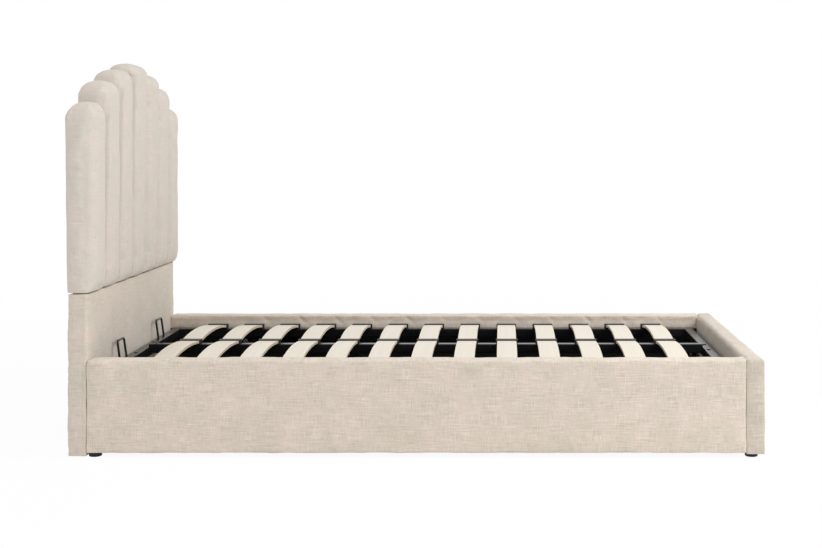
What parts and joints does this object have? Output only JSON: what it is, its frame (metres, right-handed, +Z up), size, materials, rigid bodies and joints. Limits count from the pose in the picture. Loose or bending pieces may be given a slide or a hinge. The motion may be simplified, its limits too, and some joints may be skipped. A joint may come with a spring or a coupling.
{
  "type": "ottoman storage bed",
  "caption": "Upholstered ottoman storage bed with a channelled scalloped headboard, sprung slats on a lid that lifts at the foot end, and a storage box below.",
  "frame": {"origin": "on the floor under the middle of the bed's box", "axes": "+Z up, +Y towards the headboard end, X across the bed, so that left (-X) is on the left of someone who stands at the foot end and looks at the headboard"},
  "size_m": [1, 2.0652, 1.194],
  "materials": {
    "linen": "woven oatmeal linen-look upholstery over padding",
    "frame_board": "raw particle board, hidden in the covers",
    "dark_board": "black faced board of the storage floor and lining",
    "black_steel": "black powder coat on steel",
    "zinc_steel": "zinc plated fixings",
    "polished_rod": "polished strut rod",
    "slat_wood": "pale laminated birch with a smooth film",
    "black_plastic": "moulded black plastic",
    "black_rubber": "moulded black rubber"
  },
  "bodies": {
    "root": {"base_pivot_pins": "zinc_steel", "centre_foot": "black_plastic", "corner_bolts": "zinc_steel", "corner_brackets": "black_steel", "end_lining_boards": "dark_board", "floor_beam": "dark_board", "floor_board_1": "dark_board", "floor_board_2": "dark_board", "floor_board_3": "dark_board", "footboard_board": "frame_board", "footboard_cover": "linen", "footboard_feet": "black_plastic", "headboard_board": "frame_board", "headboard_channel_1": "linen", "headboard_channel_2": "linen", "headboard_channel_3": "linen", "headboard_channel_4": "linen", "headboard_channel_5": "linen", "headboard_channel_6": "linen", "headboard_channel_7": "linen", "headboard_feet": "black_plastic", "headboard_lower_cover": "linen", "left_base_plate": "black_steel", "left_ledge": "dark_board", "left_rail_board": "frame_board", "left_rail_cover": "linen", "lid_rests": "black_rubber", "mechanism_screws": "zinc_steel", "right_base_plate": "black_steel", "right_ledge": "dark_board", "right_rail_board": "frame_board", "right_rail_cover": "linen", "side_lining_boards": "dark_board", "strut_base_studs": "zinc_steel"},
    "lid": {"head_tube": "black_steel", "foot_tube": "black_steel", "left_side_tube": "black_steel", "right_side_tube": "black_steel", "centre_rail": "black_steel", "cross_bars": "black_steel", "tube_caps": "black_plastic", "frame_bolts": "zinc_steel", "left_slats": "slat_wood", "right_slats": "slat_wood", "side_slat_holders": "black_plastic", "centre_slat_holders": "black_plastic", "left_retainer_loop": "black_steel", "right_retainer_loop": "black_steel", "left_lid_bracket": "black_steel", "right_lid_bracket": "black_steel", "lid_pivot_pins": "zinc_steel", "strut_lid_studs": "zinc_steel"},
    "left_rear_arm": {"left_rear_arm": "black_steel"},
    "left_front_arm": {"left_front_arm": "black_steel"},
    "left_strut_cylinder": {"left_strut_cylinder": "black_steel"},
    "left_strut_rod": {"left_strut_rod": "polished_rod"},
    "right_rear_arm": {"right_rear_arm": "black_steel"},
    "right_front_arm": {"right_front_arm": "black_steel"},
    "right_strut_cylinder": {"right_strut_cylinder": "black_steel"},
    "right_strut_rod": {"right_strut_rod": "polished_rod"}
  },
  "joints": [
    {"name": "left_rear_arm_pivot", "type": "hinge", "parent": "root", "child": "left_rear_arm", "pos_m": [-0.4375, 0.3475, 0.175], "axis": [1, 0, 0], "range_deg": [0, 75]},
    {"name": "lid_pivot", "type": "hinge", "parent": "left_rear_arm", "child": "lid", "pos_m": [-0.43, 0.5955, 0.228], "axis": [-1, 0, 0], "range_deg": [0, 110.75]},
    {"name": "left_front_arm_pivot", "type": "hinge", "parent": "root", "child": "left_front_arm", "pos_m": [-0.431, 0.2675, 0.115], "axis": [1, 0, 0], "range_deg": [0, 66.12]},
    {"name": "left_strut_pivot", "type": "hinge", "parent": "root", "child": "left_strut_cylinder", "pos_m": [-0.4095, 0.5115, 0.062], "axis": [1, 0, 0], "range_deg": [0, 69.52]},
    {"name": "left_strut_slide", "type": "slide", "parent": "left_strut_cylinder", "child": "left_strut_rod", "axis": [0, 0.7755, 0.6314], "range_m": [0, 0.0905]},
    {"name": "right_rear_arm_pivot", "type": "hinge", "parent": "root", "child": "right_rear_arm", "pos_m": [0.4375, 0.3475, 0.175], "axis": [1, 0, 0], "range_deg": [0, 75]},
    {"name": "right_front_arm_pivot", "type": "hinge", "parent": "root", "child": "right_front_arm", "pos_m": [0.431, 0.2675, 0.115], "axis": [1, 0, 0], "range_deg": [0, 66.12]},
    {"name": "right_strut_pivot", "type": "hinge", "parent": "root", "child": "right_strut_cylinder", "pos_m": [0.4095, 0.5115, 0.062], "axis": [1, 0, 0], "range_deg": [0, 69.52]},
    {"name": "right_strut_slide", "type": "slide", "parent": "right_strut_cylinder", "child": "right_strut_rod", "axis": [0, 0.7755, 0.6314], "range_m": [0, 0.0905]}
  ],
  "couplings": [
    {"joint": "lid_pivot", "follows": "left_rear_arm_pivot", "ratio": 1.4766},
    {"joint": "left_front_arm_pivot", "follows": "left_rear_arm_pivot", "ratio": 0.88149},
    {"joint": "left_strut_pivot", "follows": "left_rear_arm_pivot", "ratio": 0.92681},
    {"joint": "left_strut_slide", "follows": "left_rear_arm_pivot", "m_per_rad": 0.069087},
    {"joint": "right_rear_arm_pivot", "follows": "left_rear_arm_pivot", "ratio": 1},
    {"joint": "right_front_arm_pivot", "follows": "left_rear_arm_pivot", "ratio": 0.88149},
    {"joint": "right_strut_pivot", "follows": "left_rear_arm_pivot", "ratio": 0.92681},
    {"joint": "right_strut_slide", "follows": "left_rear_arm_pivot", "m_per_rad": 0.069087}
  ]
}
